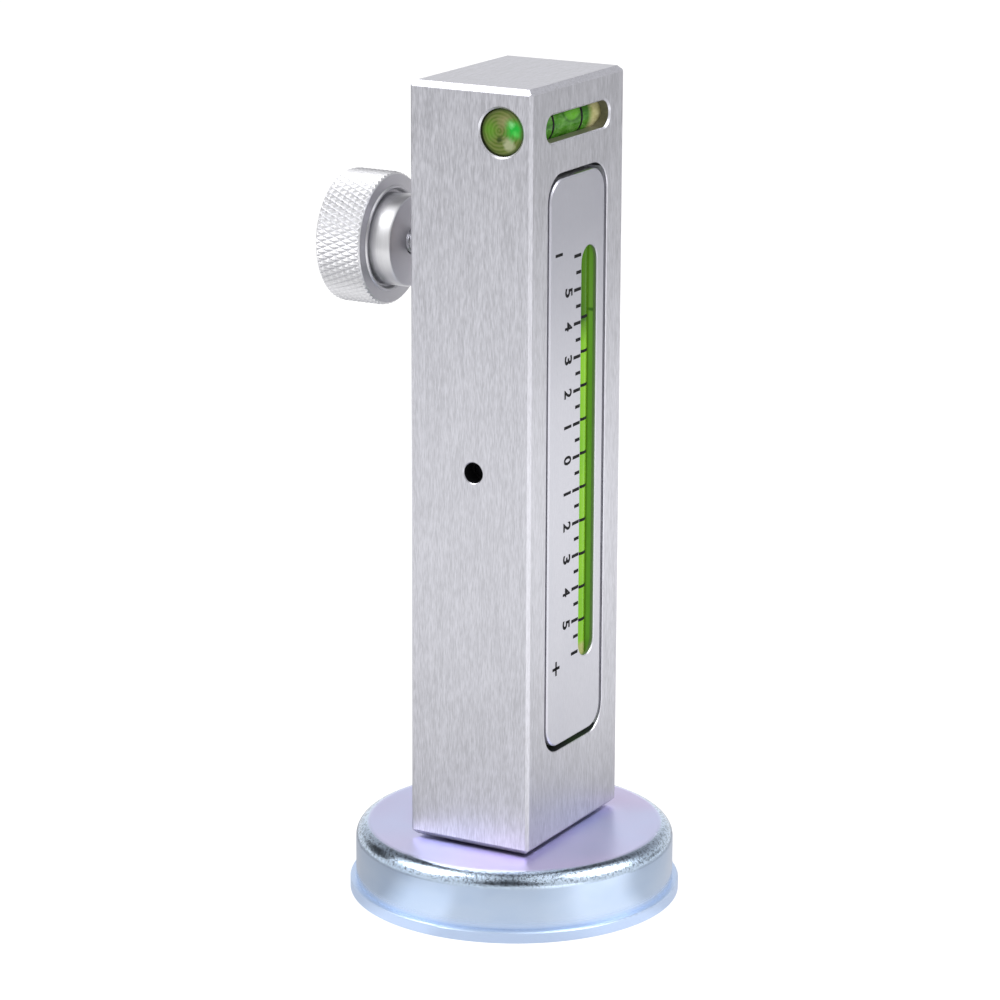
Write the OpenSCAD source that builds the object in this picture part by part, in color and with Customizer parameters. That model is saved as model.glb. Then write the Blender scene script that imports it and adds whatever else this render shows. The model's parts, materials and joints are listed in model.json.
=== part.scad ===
// Camber and caster gauge: an upright aluminium bar on a round magnet foot.
// Three green spirit vials: camber behind the scale plate, caster on a rocker
// that a knurled knob trims, and a short cross level near the top.
// Millimetres. +Z runs up the bar, +X is the camber face, -Y the face with the
// round window. The origin is the centre of the magnet's underside.

/* [Magnet foot] */
// Outer diameter of the foot ring
base_d = 55; // [46:1:62]
// Height of the pressed cup
base_h = 11.3; // [10:0.1:14]
// How far the cup's wall steps in above the foot ring
foot_step = 1; // [0.4:0.1:1.4]
// Height of the foot ring
foot_h = 1.9; // [1.4:0.1:3]
// Radius of the pressed shoulder
shoulder_r = 2.5; // [1.8:0.1:3]
// Thickness of the pressed sheet
sheet_t = 1.6; // [1:0.1:2]
// Width of the resin ring between magnet and cup
potting_w = 1.9; // [0.5:0.1:4]
// Bore of the ring magnet
magnet_bore = 14; // [12:0.5:18]
// Diameter of the shim between cup and bar
shim_d = 16; // [12:1:20]
// Thickness of the shim
shim_t = 0.4; // [0.3:0.1:1.4]

/* [Foot screw] */
// Thread diameter of the socket screw that holds the foot
foot_screw_d = 6; // [4:1:6]
// Length of its thread
foot_screw_l = 12; // [10:1:16]
// Diameter of its head
foot_head_d = 10; // [9:0.5:11]
// Height of its head
foot_head_h = 6; // [4:0.5:6]
// Size of the hexagon socket across flats
foot_hex = 5; // [3:1:6]
// Height of the spring lock washer
lock_h = 1.5; // [1:0.1:1.6]

/* [Bar] */
// Width across the round window's face (X)
bar_x = 22; // [20:0.5:24]
// Width across the scale's face (Y)
bar_y = 31; // [28:0.5:36]
// Height of the bar
bar_h = 125.5; // [110:0.5:150]
// Bevel of the upright edges
edge_bevel = 0.5; // [0.2:0.1:1]
// Bevel of the top and bottom edges
end_bevel = 0.9; // [0.3:0.1:1.2]
// Flare round the mouths of windows and bores
mouth = 0.3; // [0.1:0.05:0.4]
// Flare round the mouth of the plate's pocket
pocket_mouth = 0.15; // [0.05:0.05:0.4]

/* [Camber scale] */
// Width of the plate
plate_w = 18.2; // [18:0.1:20]
// Distance of the plate's lower end from the bar's foot
plate_foot = 16.1; // [14:0.1:20]
// Distance of the plate's upper end from the bar's top
plate_head = 15.35; // [14:0.05:20]
// Corner radius of the plate
plate_r = 3.75; // [3:0.25:6]
// Thickness of the plate
plate_t = 0.7; // [0.5:0.1:1.2]
// Gap between plate and pocket at the two sides
side_gap = 0.85; // [0.1:0.05:1]
// Gap between plate and pocket at the two ends
end_gap = 0.95; // [0.5:0.05:1.5]
// Width of the plate's window
slot_w = 5.3; // [4:0.1:5.4]
// Distance of the plate's window from the plate's two ends
slot_end = 12.6; // [10:0.1:18]
// Sideways place of the camber vial
camber_y = 4.1; // [3.4:0.1:4.4]
// How far the window's middle lies above the plate's middle
slot_up = 0.4; // [0:0.1:1]
// Outer diameter of the camber vial
camber_d = 6.2; // [5.6:0.1:6.4]
// How far the camber vial runs on past the window's ends
camber_tail = 2.5; // [1:0.1:4]
// Length of air above the fluid in the standing camber vial
camber_air = 10.4; // [4:0.2:20]
// Thickness of the vial bed behind the camber vial
bed_floor = 0.8; // [0.5:0.1:1.2]
// Width of the land that the bed rests on, beside the rocker's pocket
bed_land = 1.5; // [1:0.1:3]

/* [Vials] */
// Wall of all the vial tubes
vial_wall = 0.8; // [0.6:0.1:1]
// Length of the end plugs
plug_l = 4.3; // [2:0.1:6]
// Length of air above the fluid in the standing caster vial
caster_air = 7; // [3:0.5:12]
// Outer diameter of the level vial
level_d = 7.2; // [6:0.1:8]
// Length of the level vial's plugs
level_plug_l = 4.4; // [2:0.1:5]
// Length of the level vial's bubble
bubble_l = 7; // [6:0.5:9]

/* [Level window] */
// Gap between the level vial and its bore
level_gap = 0.25; // [0.05:0.05:0.5]
// Distance of the level vial's axis behind the camber face
level_in = 5.5; // [5:0.1:6]
// Distance of the level vial below the bar's top
level_drop = 7; // [6:0.1:8]
// Width of the level window
level_slot_w = 4.4; // [3.6:0.1:5]
// Distance of the level window from the bar's two sides
level_slot_end = 4.9; // [3:0.1:8]
// Wall left behind the level bore
level_wall = 2.5; // [1:0.5:8]
// Space between the level vial and the end of its bore
level_end = 0.4; // [0.1:0.1:2]
// How far the level vial's end lies inside the bore's mouth
level_inset = 1.3; // [0.5:0.1:3]

/* [Caster rocker] */
// Clearance between the rocker's boss and the vial bed
boss_gap = 0.2; // [0.1:0.05:0.6]
// Diameter of the pivot pin
pin_d = 3; // [2:0.1:3.2]
// Depth of the pin's head below the bar's face
pin_inset = 3.2; // [1:0.1:4]
// How much wider the hole's mouth is than the pin, all round
pin_mouth = 0.2; // [0.05:0.05:0.5]
// How far the rocker ends short of the plate's two ends
rocker_end = 10; // [8:0.1:14]
// Thickness of the rocker's arms
arm_t = 2.2; // [1.6:0.1:2.6]
// Wall of the rocker's pivot boss
boss_wall = 0.9; // [0.6:0.1:1.3]
// Clearance between rocker and pocket at the sides and ends
rocker_gap = 0.7; // [0.4:0.1:1]
// Corner radius of the rocker and of its pocket
rocker_r = 4; // [2:0.5:5]
// Wall between the rocker's arms and the caster vial
vial_land = 0.65; // [0.3:0.05:1]
// Room for the caster vial to tilt back
tilt_room = 1.6; // [1.5:0.1:2.5]
// Wall left between the caster vial's pocket and the bar's rear face
rear_wall = 1.8; // [1:0.1:2.4]
// How far the caster vial's trough lies inside the rocker's side
trough_side = 0.4; // [0:0.1:1]
// Distance of the trough's ends from the axes of pad and spring
trough_end = 6.6; // [6:0.1:9]
// Depth of the arm's pocket behind the pivot
arm_room = 4.2; // [4:0.1:5]
// Width of the caster window
caster_slot_w = 4.9; // [4:0.1:5.2]
// How far the caster window ends short of the vial's ends
caster_slot_end = 3; // [1:0.5:8]

/* [Adjuster] */
// Distance of the knob's axis from the rocker's upper end
lever_end = 3.9; // [3.5:0.1:6]
// Thread diameter of the adjusting screw
adjust_d = 4; // [3:0.1:4.2]
// Outer diameter of the threaded bush
bush_d = 7; // [6.8:0.1:8]
// Diameter of the thrust pad
pad_d = 6; // [4:0.1:6.2]
// Thickness of the thrust pad
pad_t = 2.2; // [1.6:0.1:2.4]
// Room for the pad to draw back beyond the arm's pocket
pad_room = 1.8; // [1.7:0.1:2.5]
// Gap between the thrust pad and the rocker
pad_gap = 0.08; // [0.05:0.01:0.1]
// Diameter of the knob over the knurl
knob_d = 22; // [20:0.5:26]
// Thickness of the knurled head
knob_t = 8.3; // [6:0.1:12]
// Teeth round the knurl
knurl_teeth = 64; // [50:2:90]
// Rows of diamonds along the knurl
knurl_rows = 3; // [3:1:6]
// Depth of the knurl
knurl_depth = 0.32; // [0.2:0.02:0.4]
// Diameter of the knob's neck
neck_d = 15.2; // [12:0.2:18]
// Length of the knob's neck
neck_l = 3.9; // [2:0.1:5]
// Width of the groove round the neck's root
root_gap = 0.4; // [0.2:0.05:0.8]
// Depth of that groove in the head's face
root_depth = 0.8; // [0.3:0.1:2]
// Bevel round the groove's outer edge
root_bevel = 0.2; // [0.1:0.05:0.3]
// Space between the neck and the bar
knob_gap = 8.4; // [5:0.1:10]
// Length of the screw inside the knob
screw_grip = 9; // [5:0.5:10]

/* [Return spring] */
// Outer diameter of the spring
spring_d = 5; // [4.4:0.1:5.4]
// Wire diameter
wire_d = 0.6; // [0.4:0.05:0.7]
// Number of turns
spring_turns = 6; // [4:1:7]

/* [Hidden] */
$fn = 64;
cut = 1;             // how far a cutting shape runs past the face it opens
slip = 0.02;         // radial gap of glued and pressed pieces
run_gap = 0.05;      // radial clearance of running fits
hair = 0.05;         // gap between stacked inner pieces
hole_gap = 0.1;      // radial clearance of screws in plain holes
edge_break = 0.25;   // small bevel on turned and stamped edges

foot_r = base_d / 2;
wall_r = foot_r - foot_step;
cup_ceiling = base_h - sheet_t;
magnet_d = 2 * (wall_r - sheet_t - potting_w);
foot_screw_z = cup_ceiling - lock_h;
lock_split = 0.8;    // width of the cut in the spring washer
bar_z = base_h + shim_t;
bar_top = bar_z + bar_h;
face_x = bar_x / 2;
face_y = bar_y / 2;
plate_l = bar_h - plate_foot - plate_head;
mid_z = bar_z + plate_foot + plate_l / 2;

plate_back = face_x - plate_t;
camber_r = camber_d / 2;
camber_x = plate_back - hair - camber_r;
camber_z = mid_z + slot_up;
slot_l = plate_l - 2 * slot_end;
camber_l = slot_l + 2 * camber_tail;
camber_foot = camber_z - camber_l / 2;
camber_head = camber_z + camber_l / 2;
pocket_w = plate_w + 2 * side_gap;
pocket_l = plate_l + 2 * end_gap;
pocket_r = plate_r + side_gap;

bed_back = camber_x - camber_r - bed_floor;

level_bore = level_d + 2 * level_gap;
level_x = face_x - level_in;
level_z = bar_top - level_drop;
level_y0 = -face_y + level_inset;
level_y1 = face_y - level_wall - level_end;

rocker_w = plate_w - 2 * bed_land;
rocker_l = plate_l - 2 * rocker_end;
boss_d = pin_d + 2 * boss_wall;
pivot_x = bed_back - boss_gap - boss_d / 2;
arm_ahead = 0.6;     // front face of the arms, ahead of the pivot
arm_back = pivot_x - arm_t + arm_ahead;
arm_floor = pivot_x - arm_room;
deep_x = -face_x + rear_wall;
caster_d = arm_back - vial_land - tilt_room - deep_x;   // the vial fills what is left
caster_x = deep_x + tilt_room + caster_d / 2;
caster_y = trough_side + vial_wall + caster_d / 2 - rocker_w / 2;

lever = rocker_l / 2 - lever_end;
trough_l = 2 * (lever - trough_end);
trough_gap = 2 * rocker_gap;   // the trough's ends swing further than the arms
deep_r = 2;          // corner radius of the deep pocket, for the trough's square corners
cheek = 1.5;         // end wall of the rocker's trough
caster_l = trough_l - 2 * cheek;
caster_foot = mid_z - caster_l / 2;
caster_head = mid_z + caster_l / 2;

knob_z = mid_z + lever;
spring_z = mid_z - lever;
pad_front = arm_back - pad_gap;
pad_back = pad_front - pad_t;
bush_front = arm_floor - pad_room;
pad_dome_r = 10;     // crown of the pad, so that it rolls on the tilting arm
pad_space = 0.3;     // room round the pad in its counterbore
tip_d = 2.6;         // turned tip of the adjusting screw
tip_l = 1.3;
neck_end_x = -face_x - knob_gap;
head_x = neck_end_x - neck_l;
spigot_gap = 0.4;    // round the peg on the rocker that carries the spring
spigot_d = spring_d - 2 * (wire_d + spigot_gap);
spigot_l = 2;
spring_space = 0.6;  // room round the spring in its seat
bubble_w = 4;        // width of the level vial's bubble
bubble_flat = 0.6;   // how far the tube's wall flattens the bubble

screw_bed_d = 2.5;   // thread of the two bed screws
screw_bed_head_d = 4.6;
screw_bed_head_h = 1.3;
screw_bed_l = 12;
screw_bed_hex = 1.5; // hexagon socket across flats, and its depth
screw_bed_socket = 1;
screw_bed_top = plate_back - 3 * hair;
screw_bed_y = -3.5;
screw_bed_z = (rocker_l / 2 + rocker_gap + plate_l / 2) / 2;   // middle of the land

// ---------- helpers ----------

// a rectangle with round corners, made of squares and circles
module round_rect(w, l, r) {
    if (w > 2 * r) square([w - 2 * r, l], center = true);
    if (l > 2 * r) square([w, l - 2 * r], center = true);
    for (sx = [-1, 1], sy = [-1, 1])
        translate([sx * (w / 2 - r), sy * (l / 2 - r)]) circle(r = r);
}

// a flat outline in Y and Z, drawn out along X
module along_x(x0, x1) {
    translate([x0, 0, 0]) rotate([90, 0, 90]) linear_extrude(x1 - x0) children();
}

// a round bar along X, from x0 to x1, that may taper
module rod_x(x0, x1, d, d2 = undef) {
    translate([x0, 0, 0]) rotate([0, 90, 0])
        cylinder(d1 = d, d2 = is_undef(d2) ? d : d2, h = x1 - x0);
}

// a round bar along Y, from y0 to y1, that may taper
module rod_y(y0, y1, d, d2 = undef) {
    translate([0, y0, 0]) rotate([-90, 0, 0])
        cylinder(d1 = d, d2 = is_undef(d2) ? d : d2, h = y1 - y0);
}

// a tube along Z
module tube_z(z0, z1, d_out, d_in) {
    translate([0, 0, z0]) difference() {
        cylinder(d = d_out, h = z1 - z0);
        translate([0, 0, -cut]) cylinder(d = d_in, h = z1 - z0 + 2 * cut);
    }
}

// a round-cornered frustum along X: w, l and r at x0, growing by f all round at x1
module flare_x(x0, x1, w, l, r, f) {
    h = x1 - x0;
    translate([x0, 0, 0]) {
        for (sy = [-1, 1], sz = [-1, 1])
            translate([0, sy * (w / 2 - r), sz * (l / 2 - r)]) rotate([0, 90, 0])
                cylinder(r1 = r, r2 = r + f, h = h);
        if (l > 2 * r)
            translate([0, 0, -(l / 2 - r)]) linear_extrude(l - 2 * r)
                polygon([[0, -w / 2], [h, -w / 2 - f], [h, w / 2 + f], [0, w / 2]]);
        if (w > 2 * r)
            translate([0, -(w / 2 - r), 0]) rotate([-90, 0, 0]) linear_extrude(w - 2 * r)
                polygon([[0, -l / 2], [h, -l / 2 - f], [h, l / 2 + f], [0, l / 2]]);
    }
}

// a round-ended slot through a wall along X with a flared mouth at x1
module slot_x(x0, x1, w, l) {
    r = min(w, l) / 2;
    along_x(x0, x1 + cut) round_rect(w, l, r);
    flare_x(x1 - mouth, x1 + hair, w, l, r, mouth + hair);
}

// ---------- magnet foot ----------

module base_cup() color("lightsteelblue") rotate_extrude($fn = 128) cup_profile();

// half section of the pressed cup: flat top, round shoulder, wall and foot ring
module cup_profile() {
    inner_r = shoulder_r - sheet_t;
    difference() {
        union() {
            square([wall_r - shoulder_r, base_h]);
            square([wall_r, base_h - shoulder_r]);
            translate([wall_r - shoulder_r, base_h - shoulder_r]) circle(r = shoulder_r);
            square([foot_r - edge_break, foot_h]);
            square([foot_r, foot_h - edge_break]);
            translate([foot_r - edge_break, foot_h - edge_break]) circle(r = edge_break);
        }
        translate([-cut, -cut]) square([wall_r - sheet_t - inner_r + cut, cup_ceiling + cut]);
        translate([-cut, -cut]) square([wall_r - sheet_t + cut, cup_ceiling - inner_r + cut]);
        translate([wall_r - sheet_t - inner_r, cup_ceiling - inner_r]) circle(r = inner_r);
        translate([-cut, -cut]) square([foot_screw_d / 2 + run_gap + cut, base_h + 2 * cut]);
        translate([-base_d, -base_d / 2]) square([base_d, 2 * base_d]);
        translate([0, -base_d]) square([base_d, base_d]);
    }
}

module ring_magnet() color("dimgray")
    tube_z(0, cup_ceiling - slip, magnet_d, magnet_bore);

module magnet_potting() color("darkslategray")
    tube_z(0, cup_ceiling - shoulder_r, 2 * (wall_r - sheet_t - slip), magnet_d + 2 * slip);

module base_screw() color("silver") difference() {
    union() {
        translate([0, 0, foot_screw_z - foot_head_h + edge_break])
            cylinder(d = foot_head_d, h = foot_head_h - edge_break);
        translate([0, 0, foot_screw_z - foot_head_h])
            cylinder(d1 = foot_head_d - 2 * edge_break, d2 = foot_head_d, h = edge_break);
        translate([0, 0, foot_screw_z]) cylinder(d = foot_screw_d, h = foot_screw_l - edge_break);
        translate([0, 0, foot_screw_z + foot_screw_l - edge_break])
            cylinder(d1 = foot_screw_d, d2 = foot_screw_d - 2 * edge_break, h = edge_break);
    }
    translate([0, 0, foot_screw_z - foot_head_h - cut])
        cylinder(d = foot_hex / cos(30), h = foot_head_h / 2 + cut, $fn = 6);
}

// split washer under the screw's head
module lock_washer() color("gray") difference() {
    translate([0, 0, foot_screw_z + hair])
        tube_z(0, lock_h - 2 * hair, foot_head_d - 2 * edge_break, foot_screw_d + 2 * hole_gap);
    translate([0, -lock_split / 2, 0]) cube([foot_head_d, lock_split, base_h]);
}

module base_shim() color("gray")
    tube_z(base_h + slip, bar_z - slip, shim_d, foot_screw_d + 2 * hole_gap);

// ---------- bar ----------

module housing() color("gainsboro") difference() {
    bar();
    scale_pocket();
    rocker_pocket();
    level_cuts();
    pivot_cuts();
    caster_window();
    adjuster_cuts();
    spring_seat();
    translate([0, 0, bar_z - cut])
        cylinder(d = foot_screw_d + 2 * slip, h = foot_screw_l - lock_h + cut);
    bed_screw_places()
        rod_x(screw_bed_top - screw_bed_l - cut, bed_back + cut, screw_bed_d + 2 * slip);
}

// the squared bar with its upright, top and bottom edges bevelled
module bar() intersection() {
    translate([0, 0, bar_z]) linear_extrude(bar_h) bevel_rect(bar_x, bar_y, edge_bevel);
    translate([0, bar_y, bar_z + bar_h / 2]) rotate([90, 0, 0]) linear_extrude(2 * bar_y)
        bevel_rect(bar_x, bar_h, end_bevel);
    along_x(-bar_x, bar_x) translate([0, bar_z + bar_h / 2]) bevel_rect(bar_y, bar_h, end_bevel);
}

module bevel_rect(w, l, b) {
    x = w / 2;
    y = l / 2;
    polygon([[-x + b, -y], [x - b, -y], [x, -y + b], [x, y - b],
             [x - b, y], [-x + b, y], [-x, y - b], [-x, -y + b]]);
}

// the milled pocket in the camber face that takes the bed and the plate
module scale_pocket() translate([0, 0, mid_z]) {
    along_x(bed_back, face_x + cut) round_rect(pocket_w, pocket_l, pocket_r);
    flare_x(face_x - pocket_mouth, face_x + hair, pocket_w, pocket_l, pocket_r,
        pocket_mouth + hair);
}

// the narrower pocket behind it: shallow for the arms, deep for the caster vial
module rocker_pocket() translate([0, 0, mid_z]) {
    w = rocker_w + 2 * rocker_gap;
    along_x(arm_floor, bed_back + cut)
        round_rect(w, rocker_l + 2 * rocker_gap, rocker_r + rocker_gap);
    along_x(deep_x, bed_back)
        round_rect(w, trough_l + 2 * trough_gap, deep_r);
}

module level_cuts() {
    translate([level_x, 0, level_z]) {
        rod_y(-face_y - cut, face_y - level_wall, level_bore);
        rod_y(-face_y - hair, -face_y + mouth, level_bore + 2 * (mouth + hair), level_bore);
    }
    translate([0, 0, level_z]) slot_x(level_x, face_x, bar_y - 2 * level_slot_end, level_slot_w);
}

module pivot_cuts() translate([pivot_x, 0, mid_z]) {
    pin_mouth_d = pin_d + 2 * pin_mouth;
    rod_y(-face_y - cut, -face_y + pin_inset, pin_mouth_d);
    rod_y(-face_y - hair, -face_y + mouth / 2, pin_mouth_d + mouth + 2 * hair, pin_mouth_d);
    rod_y(-face_y, face_y - pin_inset + hair, pin_d + 2 * slip);
}

// the caster vial shows through a slot in the rear face
module caster_window() translate([0, caster_y, mid_z])
    mirror([1, 0, 0]) slot_x(-deep_x - cut, face_x, caster_slot_w, caster_l - 2 * caster_slot_end);

module adjuster_cuts() translate([0, 0, knob_z]) {
    rod_x(-face_x - cut, bush_front, bush_d + 2 * slip);
    rod_x(bush_front, arm_floor + cut, pad_d + 2 * pad_space);
}

module spring_seat() translate([0, 0, spring_z])
    rod_x(deep_x, arm_floor + cut, spring_d + 2 * spring_space);

// ---------- camber scale ----------

// the block that fills the pocket behind the plate, with a groove for the vial
module camber_bed() color("silver") difference() {
    translate([0, 0, mid_z]) along_x(bed_back + hair, plate_back - hair)
        round_rect(plate_w, plate_l, plate_r);
    translate([camber_x, camber_y, camber_foot - hair]) {
        cylinder(d = camber_d + 2 * run_gap, h = camber_l + 2 * hair);
        translate([0, -camber_r - run_gap, 0])
            cube([face_x, camber_d + 2 * run_gap, camber_l + 2 * hair]);
    }
    bed_screw_places() {
        rod_x(bed_back - cut, plate_back, screw_bed_d + 2 * hair);
        rod_x(screw_bed_top - screw_bed_head_h, screw_bed_top,
              screw_bed_d + 2 * hair, screw_bed_head_d + 2 * hair);
        rod_x(screw_bed_top, plate_back + cut, screw_bed_head_d + 2 * hair);
    }
}

module bed_screw_places() for (s = [-1, 1])
    translate([0, screw_bed_y, mid_z + s * screw_bed_z]) children();

module bed_screws() color("gray") bed_screw_places() difference() {
    union() {
        rod_x(screw_bed_top - screw_bed_l, screw_bed_top, screw_bed_d);
        rod_x(screw_bed_top - screw_bed_head_h, screw_bed_top, screw_bed_d, screw_bed_head_d);
    }
    rod_x(screw_bed_top - screw_bed_socket, screw_bed_top + cut, screw_bed_hex / cos(30), $fn = 6);
}

module camber_plate() color("whitesmoke") difference() {
    translate([0, 0, mid_z]) {
        along_x(plate_back, face_x - edge_break) round_rect(plate_w, plate_l, plate_r);
        mirror([1, 0, 0]) flare_x(-face_x, -face_x + edge_break, plate_w - 2 * edge_break,
            plate_l - 2 * edge_break, plate_r - edge_break, edge_break);
    }
    translate([0, camber_y, camber_z]) {
        along_x(plate_back - cut, face_x + cut) round_rect(slot_w, slot_l, slot_w / 2);
        flare_x(face_x - mouth / 2, face_x + hair, slot_w, slot_l, slot_w / 2, mouth / 2 + hair);
    }
}

// ---------- vials ----------

module vial_tube(z0, z1, d) color("honeydew", 0.4) tube_z(z0, z1, d, d - 2 * vial_wall);

module vial_plugs(z0, z1, d, l) color("olive") for (z = [z0 + hair, z1 - l - hair])
    translate([0, 0, z]) cylinder(d = d - 2 * vial_wall - 2 * slip, h = l);

// fluid of a standing vial, with a dished surface under the air
module vial_fluid(z0, z1, d) color("limegreen", 0.7) difference() {
    fluid_d = d - 2 * vial_wall - 2 * slip;
    dish_r = fluid_d;
    translate([0, 0, z0]) cylinder(d = fluid_d, h = z1 - z0);
    translate([0, 0, z1 + dish_r * cos(30)]) sphere(r = dish_r);
}

module at_camber() translate([camber_x, camber_y, 0]) children();
module at_caster() translate([caster_x, caster_y, 0]) children();
module at_level() translate([level_x, 0, level_z]) rotate([-90, 0, 0]) children();

module camber_vial() at_camber() vial_tube(camber_foot, camber_head, camber_d);
module camber_plugs() at_camber() vial_plugs(camber_foot, camber_head, camber_d, plug_l);
module camber_fluid() at_camber()
    vial_fluid(camber_foot + plug_l + 2 * hair, camber_head - plug_l - camber_air, camber_d);

module caster_vial() at_caster() vial_tube(caster_foot, caster_head, caster_d);
module caster_plugs() at_caster() vial_plugs(caster_foot, caster_head, caster_d, plug_l);
module caster_fluid() at_caster()
    vial_fluid(caster_foot + plug_l + 2 * hair, caster_head - plug_l - caster_air, caster_d);

module level_vial() at_level() vial_tube(level_y0, level_y1, level_d);
module level_plugs() at_level() vial_plugs(level_y0, level_y1, level_d, level_plug_l);

// the level lies on its side, so its bubble rests along the top of the tube
module level_fluid() color("limegreen", 0.7) at_level() difference() {
    fluid_d = level_d - 2 * vial_wall - 2 * slip;
    bubble_r = bubble_w / 2;
    y0 = level_y0 + level_plug_l + 2 * hair;
    y1 = level_y1 - level_plug_l - 2 * hair;
    translate([0, 0, y0]) cylinder(d = fluid_d, h = y1 - y0);
    translate([0, bubble_r - bubble_flat - fluid_d / 2, (y0 + y1) / 2 - bubble_l / 2 + bubble_r]) {
        cylinder(r = bubble_r, h = bubble_l - 2 * bubble_r);
        sphere(r = bubble_r);
        translate([0, 0, bubble_l - 2 * bubble_r]) sphere(r = bubble_r);
    }
}

// ---------- caster rocker ----------

module pivot_pin() color("dimgray") translate([pivot_x, 0, mid_z]) {
    rod_y(-face_y + pin_inset, -face_y + pin_inset + edge_break, pin_d - 2 * edge_break, pin_d);
    rod_y(-face_y + pin_inset + edge_break, face_y - pin_inset, pin_d);
}

// a see-saw on the pivot pin: flat arms, a cross boss and a trough for the vial
module rocker() color("lightgray") difference() {
    union() {
        translate([0, 0, mid_z]) along_x(arm_back, arm_back + arm_t)
            round_rect(rocker_w, rocker_l, rocker_r);
        translate([pivot_x, 0, mid_z]) rod_y(-rocker_w / 2, rocker_w / 2, boss_d);
        translate([caster_x - hair, caster_y - caster_d / 2 - vial_wall, mid_z - trough_l / 2])
            cube([arm_back - caster_x + 2 * hair, caster_d + 2 * vial_wall, trough_l]);
        translate([0, 0, spring_z]) rod_x(arm_back - spigot_l, arm_back + hair, spigot_d);
    }
    translate([pivot_x, 0, mid_z]) rod_y(-rocker_w, rocker_w, pin_d + 2 * run_gap);
    translate([caster_x, caster_y, caster_foot - hair])
        cylinder(d = caster_d + 2 * run_gap, h = caster_l + 2 * hair);
}

function spring_point(a) = let (
        r = (spring_d - wire_d) / 2,
        x0 = deep_x + wire_d / 2 + hair,
        x1 = arm_back - wire_d / 2 - hair)
    [x0 + (x1 - x0) * a / (360 * spring_turns), r * cos(a), r * sin(a)];

// a helical compression spring between the bar and the rocker's lower arm
module return_spring() color("silver") {
    steps = 16 * spring_turns;
    sides = 6;
    rings = [for (s = [0:steps], k = [0:sides - 1]) let (
            a = 360 * spring_turns * s / steps,
            b = 360 * k / sides,
            p = spring_point(a),
            out = wire_d / 2 * cos(b))
        [p[0] + wire_d / 2 * sin(b), p[1] + out * cos(a), p[2] + out * sin(a)]];
    walls = [for (s = [0:steps - 1], k = [0:sides - 1]) let (
            k2 = (k + 1) % sides,
            p = s * sides)
        each [[p + k, p + k2, p + sides + k2], [p + k, p + sides + k2, p + sides + k]]];
    ends = [[for (k = [sides - 1:-1:0]) k], [for (k = [0:sides - 1]) steps * sides + k]];
    translate([0, 0, spring_z]) polyhedron(rings, concat(walls, ends), convexity = 10);
}

// ---------- adjuster ----------

module adjuster_bush() color("goldenrod") translate([0, 0, knob_z]) difference() {
    union() {
        rod_x(-face_x, -face_x + edge_break, bush_d - 2 * edge_break, bush_d);
        rod_x(-face_x + edge_break, bush_front - hair, bush_d);
    }
    rod_x(-face_x - cut, bush_front + cut, adjust_d + 2 * run_gap);
}

module adjuster_screw() color("silver") translate([0, 0, knob_z]) {
    rod_x(head_x - screw_grip + neck_l, pad_back - hair, adjust_d);
    rod_x(pad_back - 2 * hair, pad_back + tip_l - hair, tip_d);
}

// a loose cap on the screw's tip, whose crowned face bears on the rocker
module thrust_pad() color("goldenrod") translate([pad_back, 0, knob_z]) rotate([0, 90, 0])
    rotate_extrude() difference() {
        intersection() {
            square([pad_d / 2, pad_t]);
            translate([0, pad_t - pad_dome_r]) circle(r = pad_dome_r, $fn = 256);
        }
        translate([-cut, -cut]) square([tip_d / 2 + run_gap + cut, tip_l + cut]);
    }

// one turned piece: knurled head, and a plain neck that stands in a narrow groove
module knob() color("silver") translate([head_x, 0, knob_z]) difference() {
    root_d = neck_d + 2 * root_gap;
    union() {
        difference() {
            rotate([0, -90, 0]) knurled_head();
            rod_x(-root_depth, cut, root_d);
            rod_x(-root_bevel, hair, root_d, root_d + 2 * (root_bevel + hair));
        }
        rod_x(-root_depth - cut, neck_l - edge_break, neck_d);
        rod_x(neck_l - edge_break, neck_l, neck_d, neck_d - 2 * edge_break);
    }
    rod_x(neck_l - screw_grip - hair, neck_l + cut, adjust_d + 2 * slip);
}

// radius of the knurl's lattice: peaks and groove crossings take turns
function knurl_r(i, j) = knob_d / 2 - ((i + j) % 2 == 0 ? 0 : knurl_depth);

// Diamond knurl: every lattice cell folds along its groove, from low corner to
// low corner. The head stands on z = 0, with a plain bevel at each end.
module knurled_head() {
    columns = 2 * knurl_teeth;
    rows = 2 * knurl_rows;
    rim = 2 * edge_break;
    z0 = edge_break;
    step = (knob_t - z0 - rim) / rows;
    low_r = knob_d / 2 - knurl_depth;
    function ring(r, z) = [for (i = [0:columns - 1])
        [r * cos(360 * i / columns), r * sin(360 * i / columns), z]];
    function row(j) = [for (i = [0:columns - 1]) let (r = knurl_r(i, j), a = 360 * i / columns)
        [r * cos(a), r * sin(a), z0 + j * step]];
    points = [
        each ring(low_r - edge_break, 0),
        for (j = [0:rows]) each row(j),
        each ring(low_r - edge_break, knob_t)
    ];
    last = rows + 2;
    faces = [
        [for (i = [0:columns - 1]) i],
        for (k = [0:last - 1], i = [0:columns - 1]) let (
                a = k * columns + i,
                b = k * columns + (i + 1) % columns,
                c = b + columns,
                d = a + columns,
                high_first = (i + k - 1) % 2 == 0)
            each high_first ? [[d, b, a], [d, c, b]] : [[c, b, a], [d, c, a]],
        [for (i = [columns - 1:-1:0]) last * columns + i]
    ];
    polyhedron(points, faces, convexity = 4);
}

base_cup();
ring_magnet();
magnet_potting();
base_screw();
lock_washer();
base_shim();
housing();
camber_bed();
bed_screws();
camber_plate();
camber_vial();
camber_fluid();
camber_plugs();
level_vial();
level_fluid();
level_plugs();
pivot_pin();
rocker();
caster_vial();
caster_fluid();
caster_plugs();
return_spring();
adjuster_bush();
adjuster_screw();
thrust_pad();
knob();
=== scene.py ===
"""Looks of the camber and caster gauge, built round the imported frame, in metres."""
import json
import math

import bpy
from mathutils import Matrix, Vector


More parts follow.
